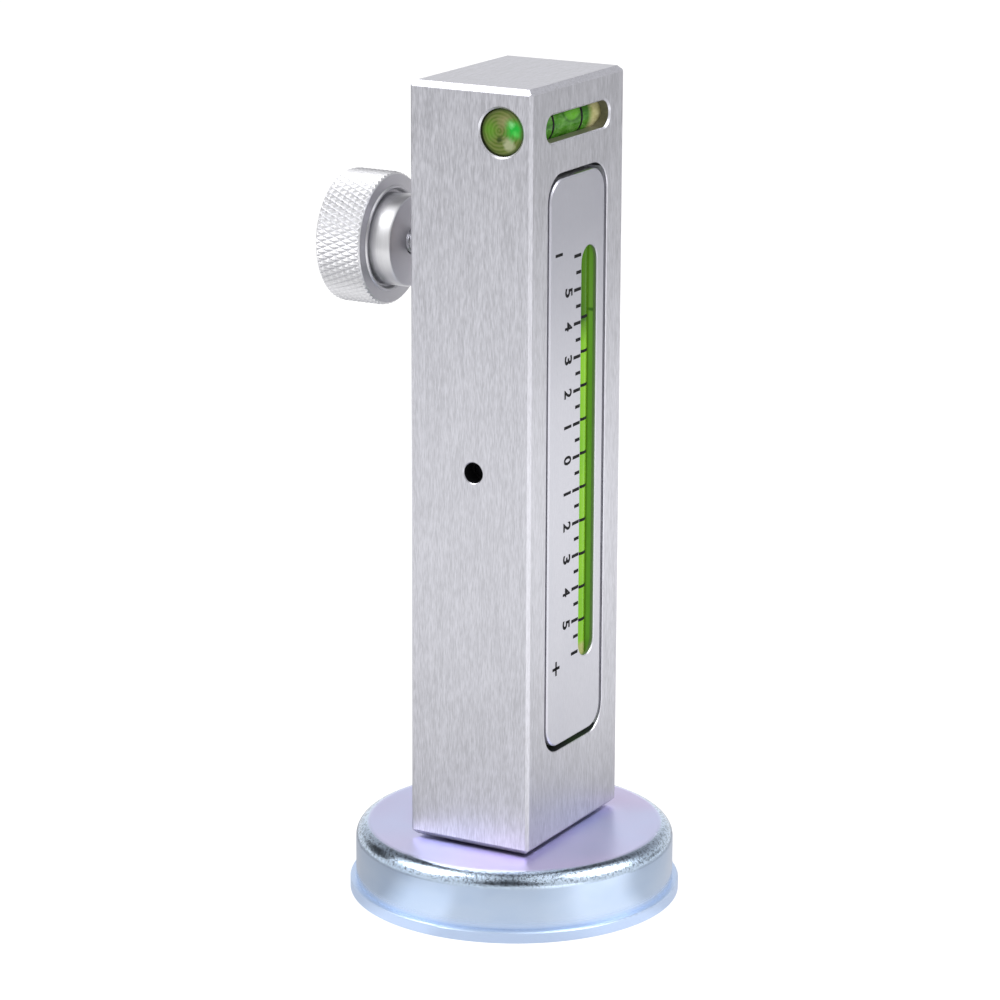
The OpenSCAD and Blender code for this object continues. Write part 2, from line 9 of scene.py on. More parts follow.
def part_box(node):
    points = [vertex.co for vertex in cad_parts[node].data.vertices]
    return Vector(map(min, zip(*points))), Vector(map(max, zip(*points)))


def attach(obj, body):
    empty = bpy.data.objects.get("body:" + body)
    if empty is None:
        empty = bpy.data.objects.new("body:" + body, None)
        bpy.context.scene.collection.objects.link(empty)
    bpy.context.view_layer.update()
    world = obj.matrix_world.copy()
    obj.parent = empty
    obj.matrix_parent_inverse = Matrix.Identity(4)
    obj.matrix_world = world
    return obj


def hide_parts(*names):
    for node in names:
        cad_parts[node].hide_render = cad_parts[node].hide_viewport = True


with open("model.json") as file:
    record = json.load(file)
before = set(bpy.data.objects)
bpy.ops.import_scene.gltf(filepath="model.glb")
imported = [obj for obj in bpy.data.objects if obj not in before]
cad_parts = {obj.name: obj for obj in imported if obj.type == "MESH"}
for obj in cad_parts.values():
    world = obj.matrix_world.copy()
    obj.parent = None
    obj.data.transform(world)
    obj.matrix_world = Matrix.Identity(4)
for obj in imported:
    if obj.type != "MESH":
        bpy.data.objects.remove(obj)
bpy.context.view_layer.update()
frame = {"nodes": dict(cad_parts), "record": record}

MM = 0.001

# ---------- places taken from the frame ----------

BAR_LOW, BAR_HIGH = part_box("housing")
PLATE_LOW, PLATE_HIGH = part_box("camber_plate")
CUP_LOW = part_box("base_cup")[0]
KNOB_LOW, KNOB_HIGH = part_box("knob")
SCREW_LOW, SCREW_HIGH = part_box("adjuster_screw")
PLUG_TOP, FLUID_TOP = (corner.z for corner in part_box("camber_fluid"))


def middle(name):
    """Middle of a CAD node's box."""
    low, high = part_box(name)
    return (low + high) / 2


def tube(name):
    """Middle and radius of a vial's tube."""
    low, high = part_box(name)
    return (low + high) / 2, (high.x - low.x) / 2


# ---------- camera ----------

TARGET = Vector((0, 0, 70 * MM))
AZIMUTH, ELEVATION, ROLL = (math.radians(a) for a in (28.929, 14.852, 0.285))
DISTANCE = 634.85 * MM
LENS, SENSOR_WIDE = 139.77, 36
SHIFT = (-0.01623, -0.01954)
CLIP = (0.01, 20)


def make_camera():
    """The photograph's camera, from a fit to the photograph."""
    back = Vector((math.sin(AZIMUTH) * math.cos(ELEVATION),
                   -math.cos(AZIMUTH) * math.cos(ELEVATION), math.sin(ELEVATION)))
    flat = Vector((math.cos(AZIMUTH), math.sin(AZIMUTH), 0))
    up = back.cross(flat)
    right = flat * math.cos(ROLL) + up * math.sin(ROLL)
    up = back.cross(right)
    data = bpy.data.cameras.new("camera")
    data.lens = LENS
    data.sensor_width = SENSOR_WIDE
    data.shift_x, data.shift_y = SHIFT
    data.clip_start, data.clip_end = CLIP
    camera = bpy.data.objects.new("camera", data)
    camera.matrix_world = Matrix.Translation(TARGET + back * DISTANCE) @ Matrix(
        (right, up, back)).transposed().to_4x4()
    bpy.context.scene.collection.objects.link(camera)
    bpy.context.scene.camera = camera


# ---------- shader building ----------

def node(tree, kind, inputs=(), **settings):
    """A shader node whose inputs are (key, value or socket) pairs."""
    made = tree.nodes.new("ShaderNode" + kind)
    for key, value in settings.items():
        setattr(made, key, value)
    for key, value in inputs:
        if isinstance(value, bpy.types.NodeSocket):
            tree.links.new(value, made.inputs[key])
        else:
            made.inputs[key].default_value = value
    return made


def new_material(name):
    """A material with its node tree and its Principled shader."""
    made = bpy.data.materials.new(name)
    made.use_nodes = True
    tree = made.node_tree
    return made, tree, tree.nodes["Principled BSDF"]


def wire(tree, bsdf, **sockets):
    """Sets or links the Principled shader's inputs, whose names are written with underscores."""
    for key, value in sockets.items():
        socket = bsdf.inputs[key.replace("_", " ")]
        if isinstance(value, bpy.types.NodeSocket):
            tree.links.new(value, socket)
        else:
            socket.default_value = value


def rgb(red, green, blue):
    """Linear colour of an sRGB colour written in 0 to 255."""
    return tuple(((v / 255 + 0.055) / 1.055) ** 2.4 if v > 10 else v / 255 / 12.92
                 for v in (red, green, blue)) + (1,)


def times(colour, factor):
    """A colour made darker or paler."""
    return tuple(min(1, c * factor) for c in colour[:3]) + (1,)


def object_at(tree):
    """Object coordinates, which are metres in the frame."""
    return node(tree, "TexCoord").outputs["Object"]


def normal_of(tree):
    return node(tree, "NewGeometry").outputs["Normal"]


def parts(tree, vector):
    """X, Y and Z of a vector."""
    return node(tree, "SeparateXYZ", [(0, vector)]).outputs


def vector_math(tree, operation, *vectors):
    """Outputs of a vector operation: 0 is a vector, and "Value" is a number."""
    return node(tree, "VectorMath", enumerate(vectors), operation=operation).outputs


def math_of(tree, operation, a, b=0.0):
    return node(tree, "Math", [(0, a), (1, b)], operation=operation).outputs[0]


def away(tree, value, place):
    """How far a value lies from a place."""
    return math_of(tree, "ABSOLUTE", math_of(tree, "SUBTRACT", value, place))


def noise(tree, per_metre, detail=3.0, rough=0.6, vector=None):
    """Noise with a scale along each axis, or over a vector of its own."""
    if vector is None:
        vector = vector_math(tree, "MULTIPLY", object_at(tree), per_metre)[0]
    return node(tree, "TexNoise", [("Vector", vector), ("Scale", 1.0), ("Detail", detail),
                                   ("Roughness", rough)]).outputs["Fac"]


def spread(tree, value, low, high, start=0.3, end=0.7):
    """Maps start..end to low..high, clamped."""
    return node(tree, "MapRange", [("Value", value), ("From Min", start), ("From Max", end),
                                   ("To Min", low), ("To Max", high)]).outputs[0]


def blend_colours(tree, factor, a, b):
    return node(tree, "Mix", [(0, factor), (6, a), (7, b)], data_type="RGBA").outputs[2]


def blend_values(tree, factor, a, b):
    return node(tree, "Mix", [(0, factor), (2, a), (3, b)], data_type="FLOAT").outputs[0]


def tinted(tree, under, over, value, low=0, high=1, start=0.3, end=0.7):
    """Colour under with colour over on it, as strongly as the spread value says."""
    return blend_colours(tree, spread(tree, value, low, high, start, end), under, over)


def bump(tree, height, distance, strength=1.0, under=None):
    """A normal raised by height, on top of the normal under it."""
    pairs = [("Height", height), ("Distance", distance), ("Strength", strength)]
    if under is not None:
        pairs.append(("Normal", under))
    return node(tree, "Bump", pairs).outputs[0]


def within(tree, low, high, skin):
    """1 on faces that lie deeper inside a box than skin, which is given along each axis."""
    centre, half = (low + high) / 2, (high - low) / 2 - Vector(skin)
    off = vector_math(tree, "SUBTRACT", object_at(tree), centre)[0]
    off = vector_math(tree, "ABSOLUTE", off)[0]
    off = parts(tree, vector_math(tree, "SUBTRACT", off, half)[0])
    deepest = math_of(tree, "MAXIMUM", off[0], math_of(tree, "MAXIMUM", off[1], off[2]))
    return math_of(tree, "LESS_THAN", deepest, 0.0)


def from_axis(tree, centre, weights):
    """Distance from an axis through centre, with a weight for each of X, Y and Z."""
    off = vector_math(tree, "SUBTRACT", object_at(tree), centre)[0]
    off = vector_math(tree, "MULTIPLY", off, weights)[0]
    return vector_math(tree, "LENGTH", off)["Value"]


# ---------- metals and plain solids ----------

BAR_SKIN = (0.3 * MM, 0.3 * MM, 0.7 * MM)    # what lies deeper in the bar is a pocket or a bore
PIN_BORE = 1.76 * MM                         # just over the radius of the pin's hole, which is painted near-black as shade
WINDOWS_ABOVE = 2.5 * MM                     # the level's windows lie this far above the plate
MOUTH_DEEP = 2.5 * MM                        # depth of the round window's mouth
PLATE_SHADE = (35 * MM, 8 * MM)              # below the plate's top, where its painted shade starts to darken it
SLOT_REACH = 4.5 * MM                        # from the vial's axis, to both sides
SLOT_GREEN_LIGHT = (0.3 * MM, 0.55 * MM)           # height up to which the slot's wall carries painted green light from the vial
SKIRT = (2.1 * MM, 3.5 * MM)                 # height at which the foot's ring meets the wall
KNOB_MARKS = 5200.0                          # turning marks to a metre
KNURL_BAND = 0.8 * MM                        # outer band of the knob that carries the knurl
FINE_MARKS = 0.003 * MM                      # height of tool marks


def brushed(name, colour, streak=0.075, rough=(0.34, 0.44), lift=0.005 * MM):
    """Brushed aluminium: short streaks along Z on upright faces, along Y on level ones.
    Pockets and bores are milled and dull, and carry painted shade: dark upright walls in the
    pockets, a near-black pin hole, dim beige window walls and dark olive in the round window's
    mouth."""
    made, tree, bsdf = new_material(name)
    level = math_of(tree, "ABSOLUTE", parts(tree, normal_of(tree))[2])
    level = math_of(tree, "GREATER_THAN", level, 0.8)
    fine = blend_values(tree, level, noise(tree, (5500, 5500, 620)),
                        noise(tree, (5500, 620, 5500)))
    broad = blend_values(tree, level, noise(tree, (1500, 1500, 110), 2.0),
                         noise(tree, (1500, 110, 1500), 2.0))
    patch = noise(tree, (55, 55, 25), 2.0, 0.5)
    grain = math_of(tree, "ADD", math_of(tree, "MULTIPLY", fine, 0.75),
                    math_of(tree, "MULTIPLY", broad, 0.25))
    dark, pale = times(colour, 1 - streak * 2), times(colour, 1 + streak * 2)
    shade = tinted(tree, dark, pale, grain, 0, 1, 0.38, 0.62)
    shade = tinted(tree, shade, dark, patch, 0, 0.12, 0.4, 0.7)
    inner = within(tree, BAR_LOW, BAR_HIGH, BAR_SKIN)
    bore = from_axis(tree, middle("pivot_pin"), (1, 0, 1))
    bore = math_of(tree, "MULTIPLY", math_of(tree, "LESS_THAN", bore, PIN_BORE), inner)
    at = parts(tree, object_at(tree))
    high_up = math_of(tree, "GREATER_THAN", at[2], PLATE_HIGH.z + WINDOWS_ABOVE)
    mouth = math_of(tree, "LESS_THAN", at[1], BAR_LOW.y + MOUTH_DEEP)
    # Painted shade: upright walls inside the pockets are dark and level floors stay pale; the
    # windows' walls are dimmed, dark olive in the round window's mouth.
    pocket = blend_colours(tree, level, rgb(206, 206, 214), rgb(56, 57, 62))
    window = blend_colours(tree, mouth, rgb(128, 126, 106), rgb(84, 90, 66))
    shade = blend_colours(tree, inner, shade, blend_colours(tree, high_up, pocket, window))
    # Painted shade: the pin's hole is near-black.
    shade = blend_colours(tree, bore, shade, rgb(22, 22, 24))
    roughness = spread(tree, grain, rough[0], rough[1], 0.35, 0.65)
    metallic = blend_values(tree, inner, 1.0, 0.5)
    wire(tree, bsdf, Base_Color=shade, Metallic=blend_values(tree, bore, metallic, 0.0),
         Roughness=blend_values(tree, inner, roughness, 0.5),
         Normal=bump(tree, grain, lift, 0.5))
    return made


def satin_plate(name):
    """The scale plate: fine matt anodised aluminium, darker towards its top as painted shade, with
    painted green light from the vial on its slot's wall.
    """
    made, tree, bsdf = new_material(name)
    grain = noise(tree, (5200, 5200, 900), 4.0, 0.7)
    cloud = noise(tree, (140, 140, 60), 2.0, 0.5)
    at = parts(tree, object_at(tree))
    shade = tinted(tree, rgb(200, 200, 208), rgb(215, 215, 222), grain)
    shade = tinted(tree, shade, rgb(192, 193, 203), cloud, 0, 0.25)
    # Painted shade: darker towards the plate's top.
    shade = tinted(tree, shade, rgb(160, 161, 172), at[2], 0, 0.5,
                   PLATE_HIGH.z - PLATE_SHADE[0], PLATE_HIGH.z - PLATE_SHADE[1])
    # Painted green light: the slot's wall, near the plate's back, takes the vial's green.
    slot = from_axis(tree, middle("camber_vial"), (0, 1, 0))
    slot = math_of(tree, "LESS_THAN", slot, SLOT_REACH)
    stain_and_green_light = math_of(tree, "MULTIPLY", slot, spread(
        tree, at[0], 0.9, 0, PLATE_LOW.x + SLOT_GREEN_LIGHT[0], PLATE_LOW.x + SLOT_GREEN_LIGHT[1]))
    shade = blend_colours(tree, stain_and_green_light, shade, rgb(112, 150, 66))
    wire(tree, bsdf, Base_Color=shade, Metallic=blend_values(tree, stain_and_green_light, 0.9, 0.2),
         Roughness=spread(tree, grain, 0.36, 0.48),
         Normal=bump(tree, grain, 0.004 * MM, 0.5))
    return made


def zinc_plating(name):
    """Blue-white zinc: satin on the flat, bright on the wall, coarse where the sheet was drawn,
    with dark specks painted there as reflections of dark surroundings.
    """
    made, tree, bsdf = new_material(name)
    slope = math_of(tree, "ABSOLUTE", parts(tree, normal_of(tree))[2])
    up = parts(tree, object_at(tree))[2]
    skirt = spread(tree, up, 1, 0, CUP_LOW.z + SKIRT[0], CUP_LOW.z + SKIRT[1])
    above = math_of(tree, "SUBTRACT", 1.0, skirt)
    flat = math_of(tree, "MULTIPLY", spread(tree, slope, 0, 1, 0.965, 0.998), above)
    bent = math_of(tree, "MULTIPLY", spread(tree, slope, 0, 1, 0.06, 0.35),
                   spread(tree, slope, 1, 0, 0.94, 0.995))
    bent = math_of(tree, "MULTIPLY", bent, above)
    grit = noise(tree, (2300, 2300, 2300), 4.0, 0.7)
    swell = noise(tree, (150, 150, 150), 2.0, 0.5)
    stain_and_green_light = noise(tree, (70, 70, 120))
    tint = noise(tree, (34, 34, 34), 1.0, 0.5)
    top = tinted(tree, rgb(208, 214, 248), rgb(220, 218, 250), stain_and_green_light)
    top = tinted(tree, top, rgb(228, 215, 248), tint, 0, 0.6, 0.45, 0.65)
    side = tinted(tree, rgb(188, 207, 230), rgb(200, 216, 234), stain_and_green_light)
    shade = blend_colours(tree, flat, side, top)
    # Painted reflection: dark specks on the drawn shoulder stand for the dark room mirrored in its
    # coarse plating.
    painted_dark_speckle = math_of(tree, "MULTIPLY", bent, spread(tree, grit, 0.6, 0, 0.42, 0.50))
    shade = blend_colours(tree, painted_dark_speckle, shade, rgb(56, 62, 70))
    shade = blend_colours(tree, skirt, shade, rgb(192, 210, 236))
    normal = bump(tree, swell, 0.02 * MM, 0.3)
    normal = bump(tree, grit, blend_values(tree, bent, 0.002 * MM, 0.04 * MM), 0.9, normal)
    rough = blend_values(tree, flat, blend_values(tree, bent, 0.20, 0.11),
                         spread(tree, stain_and_green_light, 0.34, 0.42))
    wire(tree, bsdf, Base_Color=shade, Metallic=blend_values(tree, skirt, 1.0, 0.6),
         Roughness=blend_values(tree, skirt, rough, 0.35), Normal=normal)
    return made


def turned_metal(name, colour, rough, grain):
    """Turned or machined metal with fine tool marks across the grain's long axis."""
    made, tree, bsdf = new_material(name)
    marks = noise(tree, grain, 4.0)
    cloud = noise(tree, (300, 300, 300))
    dark = times(colour, 0.84)
    shade = tinted(tree, dark, colour, marks)
    shade = tinted(tree, shade, dark, cloud, 0, 0.3, 0.45, 0.75)
    wire(tree, bsdf, Base_Color=shade, Metallic=1.0,
         Roughness=spread(tree, math_of(tree, "MAXIMUM", marks, cloud), rough[0], rough[1]),
         Normal=bump(tree, marks, FINE_MARKS, 0.5))
    return made


def rough_solid(name, dark, pale, per_metre, rough, lift, metallic=0.0):
    """Sintered, cast or moulded stuff: two colours mixed by a grain of one size."""
    made, tree, bsdf = new_material(name)
    grain = noise(tree, (per_metre,) * 3, 5.0, 0.65)
    wire(tree, bsdf, Base_Color=tinted(tree, dark, pale, grain),
         Metallic=metallic, Roughness=spread(tree, grain, rough[0], rough[1]),
         Normal=bump(tree, grain, lift, 0.7))
    return made


def knob_metal(name, colour):
    """Turned aluminium: ring marks about the knob's axis, duller on the two flat faces."""
    made, tree, bsdf = new_material(name)
    out = from_axis(tree, middle("knob"), (0, 1, 1))
    along = parts(tree, object_at(tree))[0]
    rings = node(tree, "CombineXYZ", [(0, math_of(tree, "MULTIPLY", along, KNOB_MARKS)),
                                      (1, math_of(tree, "MULTIPLY", out, KNOB_MARKS)),
                                      (2, 0.0)]).outputs[0]
    marks = noise(tree, None, vector=rings)
    cloud = noise(tree, (420, 420, 420))
    facing = math_of(tree, "ABSOLUTE", parts(tree, normal_of(tree))[0])
    flat = spread(tree, facing, 0, 1, 0.90, 0.97)
    dark = times(colour, 0.86)
    shade = tinted(tree, dark, colour, marks)
    shade = tinted(tree, shade, dark, cloud, 0, 0.25, 0.45, 0.75)
    shade = blend_colours(tree, flat, shade, rgb(206, 205, 210))
    knurl = math_of(tree, "GREATER_THAN", out, (KNOB_HIGH.y - KNOB_LOW.y) / 2 - KNURL_BAND)
    turned_rough = blend_values(tree, knurl, spread(tree, cloud, 0.36, 0.44), 0.46)
    wire(tree, bsdf, Base_Color=shade, Metallic=1.0,
         Roughness=blend_values(tree, flat, turned_rough, 0.52),
         Normal=bump(tree, marks, FINE_MARKS, 0.4))
    return made


def printed_ink(name):
    """Matt black ink."""
    made, tree, bsdf = new_material(name)
    grain = noise(tree, (6000, 6000, 6000))
    wire(tree, bsdf, Base_Color=tinted(tree, rgb(10, 10, 12), rgb(22, 22, 26), grain),
         Roughness=spread(tree, grain, 0.6, 0.8), Specular_IOR_Level=0.15)
    return made


# ---------- vials ----------

GROOVE_ROOM = 1.4 * MM                       # the groove's painted green light reaches this far beyond the vial
GROOVE_ROOT = 1.95 * MM                      # in front of the vial's middle, where the painted green light fades
BUBBLE_AT = (1.6 * MM, 1.6 * MM)             # along Y, and above the level vial's middle
BUBBLE_LONG, BUBBLE_HIGH = 2.9, 1.9          # how much longer and higher it is than its edge says
BUBBLE_EDGE = 1.3 * MM
CAP_RINGS = 10400.0                          # turned rings on the level vial's end, radians a metre
GLOW_CENTRE = Vector((-0.6 * MM, 0, 0.2 * MM))
# Painted light and shade patches on that end, among them an emerald patch of light from the long
# window, pale highlights and a dark shadow. In order:
# (along X, up, full within, ends at) in millimetres from its axis, then how strong and which
# colour.
GLOW_PATCHES = (
    (-2.2, 0.2, 0.4, 2.0, 0.7, rgb(84, 136, 40)), (0.4, 1.7, 0.3, 1.7, 0.6, rgb(140, 134, 96)),
    (-0.6, -1.3, 0.1, 0.8, 0.8, rgb(34, 54, 16)), (1.1, -1.9, 0.5, 1.4, 0.8, rgb(160, 164, 132)),
    (2.1, 0.5, 0.6, 2.1, 1.0, rgb(38, 160, 54)), (1.7, 1.3, 0.1, 0.7, 0.5, rgb(150, 220, 150)),
    (2.3, -0.2, 0.1, 0.8, 0.4, rgb(110, 210, 100)))


def glowing(made, tree, bsdf, shade, glow, clear, tint):
    """Dyed acrylic: partly clear, and glowing in its own colour as painted light, which stands in
    for light reaching the dye. Lamps light what lies behind it."""
    # Painted light: the emission makes the dyed part glow though it is no lamp.
    wire(tree, bsdf, Base_Color=shade, Emission_Color=shade, Emission_Strength=glow,
         Transmission_Weight=clear, IOR=1.33, Specular_IOR_Level=0.3, Roughness=0.07)
    shadow = node(tree, "LightPath").outputs["Is Shadow Ray"]
    passed = node(tree, "BsdfTransparent", [("Color", tint)]).outputs[0]
    mixed = node(tree, "MixShader", [(0, shadow), (1, bsdf.outputs[0]), (2, passed)]).outputs[0]
    tree.links.new(mixed, tree.nodes["Material Output"].inputs["Surface"])
    return made


def dyed_tube(name):
    """Tube of the caster vial: clear acrylic that carries the fluid's colour."""
    made, tree, bsdf = new_material(name)
    wave = noise(tree, (400, 400, 120), 3.0, 0.5)
    shade = tinted(tree, rgb(104, 172, 40), rgb(136, 198, 62), wave)
    wire(tree, bsdf, Normal=bump(tree, wave, 0.01 * MM, 0.3))
    return glowing(made, tree, bsdf, shade, 0.10, 0.6, rgb(232, 246, 206))


def camber_tube(name):
    """Tube of the standing vial: olive where air stands over the fluid, yellow-green below, darker
    beyond its middle as painted shade, and with a strong painted glow.
    """
    made, tree, bsdf = new_material(name)
    at = parts(tree, object_at(tree))
    drift = noise(tree, (300, 300, 60), 2.0, 0.5)
    wet = tinted(tree, rgb(102, 160, 22), rgb(126, 176, 38), drift)
    air = tinted(tree, rgb(50, 92, 4), rgb(66, 108, 12), drift)
    shade = tinted(tree, wet, air, at[2], 0, 1, FLUID_TOP - 4 * MM, FLUID_TOP + 0.3 * MM)
    shade = tinted(tree, shade, rgb(52, 92, 20), away(tree, at[2], FLUID_TOP),
                   0.7, 0, 0.15 * MM, 0.5 * MM)
    shade = tinted(tree, shade, rgb(152, 156, 96), at[2],
                   1, 0, PLUG_TOP - 0.3 * MM, PLUG_TOP + 0.5 * MM)
    # Painted shade: the tube's far side, beyond its middle along Y, is darker.
    axis = middle("camber_vial")
    shade = tinted(tree, shade, rgb(48, 78, 6), at[1],
                   0, 0.75, axis.y + 0.5 * MM, axis.y + 1.2 * MM)
    return glowing(made, tree, bsdf, shade, 0.36, 0.2, rgb(226, 244, 190))


def lit_bed(name):
    """The milled bed: its groove carries painted green light and a painted glow from the vial, so
    that the vial shows well in it.
    """
    made, tree, bsdf = new_material(name)
    axis, radius = tube("camber_vial")
    vial_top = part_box("camber_vial")[1].z
    at = parts(tree, object_at(tree))
    groove = math_of(tree, "LESS_THAN", from_axis(tree, axis, (1, 1, 0)), radius + GROOVE_ROOM)
    groove = math_of(tree, "MULTIPLY", groove,
                     math_of(tree, "LESS_THAN", at[2], vial_top + 0.1 * MM))
    marks = noise(tree, (2400, 700, 700), 4.0)
    cloud = noise(tree, (300, 300, 60), 2.0, 0.5)
    # Painted light from the vial: green in the groove, a dark line just over the fluid's top, olive
    # deeper in.
    wet = tinted(tree, rgb(92, 152, 40), rgb(108, 166, 56), cloud)
    air = tinted(tree, rgb(88, 142, 42), rgb(110, 162, 62), cloud)
    green = tinted(tree, wet, air, at[2], 0, 1, FLUID_TOP - 1 * MM, FLUID_TOP + 1 * MM)
    green = tinted(tree, green, rgb(26, 78, 18), away(tree, at[2], FLUID_TOP + 0.9 * MM),
                   0.7, 0, 0.1 * MM, 0.4 * MM)
    root = axis.x + GROOVE_ROOT
    green = tinted(tree, green, rgb(76, 114, 12), at[0], 0.85, 0, root, root + 0.25 * MM)
    metal = tinted(tree, rgb(190, 191, 196), rgb(206, 207, 212), marks)
    # Painted light: the groove glows in its green.
    wire(tree, bsdf, Base_Color=blend_colours(tree, groove, metal, green),
         Metallic=blend_values(tree, groove, 0.8, 0.0),
         Roughness=spread(tree, marks, 0.34, 0.46), Emission_Strength=0.45,
         Emission_Color=blend_colours(tree, groove, rgb(0, 0, 0), green),
         Normal=bump(tree, marks, FINE_MARKS, 0.5))
    return made


def level_tube(name):
    """Tube of the cross level: green over its fluid with painted pale and dark streaks, a bubble
    made paler by a painted highlight, clear at its far end, and darker at its very end as painted
    shade.
    """
    made, tree, bsdf = new_material(name)
    tube_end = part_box("level_vial")[1].y
    fluid_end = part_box("level_fluid")[1].y
    along = parts(tree, object_at(tree))[1]
    wave = noise(tree, (520, 420, 700))
    drift = noise(tree, (300, 300, 300), 2.0, 0.5)
    light_and_shade_streaks = noise(tree, (700, 260, 900), 2.0)
    shade = tinted(tree, rgb(46, 104, 24), rgb(82, 146, 38), drift)
    # Painted highlights and shade: pale and dark streaks in the tube.
    shade = tinted(tree, shade, rgb(20, 60, 20), light_and_shade_streaks, 0.4, 0, 0.34, 0.48)
    shade = tinted(tree, shade, rgb(150, 200, 120), light_and_shade_streaks, 0, 0.3, 0.54, 0.68)
    bubble = from_axis(tree, (0, BUBBLE_AT[0], middle("level_vial").z + BUBBLE_AT[1]),
                       (0, 1 / BUBBLE_LONG, 1 / BUBBLE_HIGH))
    bubble = math_of(tree, "ADD", bubble, math_of(tree, "MULTIPLY", drift, 0.5 * MM))
    # The bubble, with a painted highlight that makes it paler, and a dark outline.
    shade = tinted(tree, shade, rgb(104, 176, 50), bubble, 0.8, 0, 0.9 * MM, BUBBLE_EDGE)
    shade = tinted(tree, shade, rgb(22, 62, 20), away(tree, bubble, BUBBLE_EDGE),
                   0.45, 0, 0.03 * MM, 0.16 * MM)
    pale = tinted(tree, rgb(160, 156, 100), rgb(212, 206, 160), wave)
    shade = tinted(tree, shade, pale, along, 0, 1, fluid_end - 1.4 * MM, fluid_end + 0.4 * MM)
    # Painted shade: darker at the tube's very end.
    shade = tinted(tree, shade, rgb(74, 70, 46), along,
                   0, 0.8, tube_end - 1.3 * MM, tube_end - 0.8 * MM)
    wire(tree, bsdf, Normal=bump(tree, wave, 0.22 * MM, 0.8))
    return glowing(made, tree, bsdf, shade, 0.12, 0.2, rgb(232, 246, 206))


def green_fluid(name):
    """Fluorescent yellow-green spirit, cloudy, with a painted glow all through it."""
    made, tree, bsdf = new_material(name)
    drift = noise(tree, (260, 260, 90), 2.0, 0.5)
    shade = tinted(tree, rgb(96, 182, 28), rgb(128, 206, 44), drift)
    # Painted light: the fluid's emission.
    wire(tree, bsdf, Base_Color=shade, Roughness=0.12, IOR=1.36,
         Emission_Color=shade, Emission_Strength=0.25)
    return made


def end_plug(name):
    """Pale acrylic plugs, stained by the fluid."""
    made, tree, bsdf = new_material(name)
    cloud = noise(tree, (500, 500, 500))
    wire(tree, bsdf, Base_Color=tinted(tree, rgb(126, 138, 74), rgb(176, 172, 124), cloud),
         Roughness=0.16, IOR=1.45, Normal=bump(tree, cloud, 0.03 * MM, 0.4))
    return made


def ringed_end(name):
    """Moulded end of the level vial: dyed acrylic with turned rings, painted light and shade
    patches, a painted dark rim, and a painted glow.
    """
    made, tree, bsdf = new_material(name)
    axis = middle("level_vial")
    out = from_axis(tree, axis + GLOW_CENTRE, (1, 0, 1))
    cloud = noise(tree, (800, 800, 800))
    wave = math_of(tree, "SINE", math_of(tree, "ADD", math_of(tree, "MULTIPLY", out, CAP_RINGS),
                                         math_of(tree, "MULTIPLY", cloud, 3.0)))
    wobble = math_of(tree, "MULTIPLY", math_of(tree, "SUBTRACT", cloud, 0.5), 1.6 * MM)
    shade = tinted(tree, rgb(80, 98, 38), rgb(104, 114, 60), wave, 0, 1, -1, 1)
    # Painted light and shade: the patches.
    for across, up, full, ends, weight, colour in GLOW_PATCHES:
        near = from_axis(tree, axis + Vector((across * MM, 0, up * MM)), (1, 0, 1))
        near = math_of(tree, "ADD", near, wobble)
        shade = tinted(tree, shade, colour, near, weight, 0, full * MM, ends * MM)
    # Painted shade: a dark rim round the end's edge.
    shade = tinted(tree, shade, rgb(46, 58, 30), from_axis(tree, axis, (1, 0, 1)),
                   0, 0.8, 3.1 * MM, 3.7 * MM)
    height = math_of(tree, "ADD", wave, math_of(tree, "MULTIPLY", cloud, 1.5))
    wire(tree, bsdf, Normal=bump(tree, height, 0.03 * MM, 0.5))
    return glowing(made, tree, bsdf, shade, 0.16, 0.0, rgb(232, 246, 206))


# ---------- paints ----------

MATERIALS = {
    "zinc_plated_steel": zinc_plating("zinc_plated_steel"),
    "ferrite": rough_solid("ferrite", rgb(38, 39, 42), rgb(64, 65, 69), 1800,
                           (0.55, 0.8), 0.02 * MM, 0.2),
    "potting_resin": rough_solid("potting_resin", rgb(17, 18, 20), rgb(34, 35, 38), 500,
                                 (0.22, 0.4), 0.03 * MM),
    "dark_steel": turned_metal("dark_steel", rgb(72, 73, 78), (0.3, 0.48), (3000, 3000, 600)),
    "black_steel": turned_metal("black_steel", rgb(42, 42, 46), (0.35, 0.5), (2500, 500, 2500)),
    "bright_steel": turned_metal("bright_steel", rgb(196, 196, 200), (0.16, 0.28),
                                 (5000, 900, 900)),
    "spring_steel": turned_metal("spring_steel", rgb(170, 170, 174), (0.2, 0.32),
                                 (1500, 1500, 1500)),
    "brushed_bar": brushed("brushed_bar", rgb(203, 203, 210)),
    "scale_plate": satin_plate("scale_plate"),
    "milled_bed": turned_metal("milled_bed", rgb(206, 207, 210), (0.28, 0.42), (2400, 700, 700)),
    "knurled_metal": knob_metal("knurled_metal", rgb(230, 230, 233)),
    "bush_brass": turned_metal("bush_brass", rgb(196, 160, 92), (0.2, 0.34), (4200, 900, 900)),
    "vial_tube": dyed_tube("vial_tube"),
    "vial_fluid": green_fluid("vial_fluid"),
    "vial_plug": end_plug("vial_plug"),
}
INK = printed_ink("ink")
RING_INK = printed_ink("ring_ink")
RINGED_END = ringed_end("ringed_end")
NODE_PAINT = {
    "camber_vial": camber_tube("camber_tube"),
    "camber_bed": lit_bed("camber_bed"),
    "level_vial": level_tube("level_tube"),
    "level_plugs": RINGED_END,
}


def dress_cad_nodes():
    """Gives every CAD node its own paint, or else the one of its slot."""
    slots = {part["node"]: part["material_slot"] for part in frame["record"]["subparts"]}
    for name, part in frame["nodes"].items():
        part.data.materials.clear()
        part.data.materials.append(NODE_PAINT.get(name, MATERIALS[slots[name]]))


# ---------- mesh building ----------

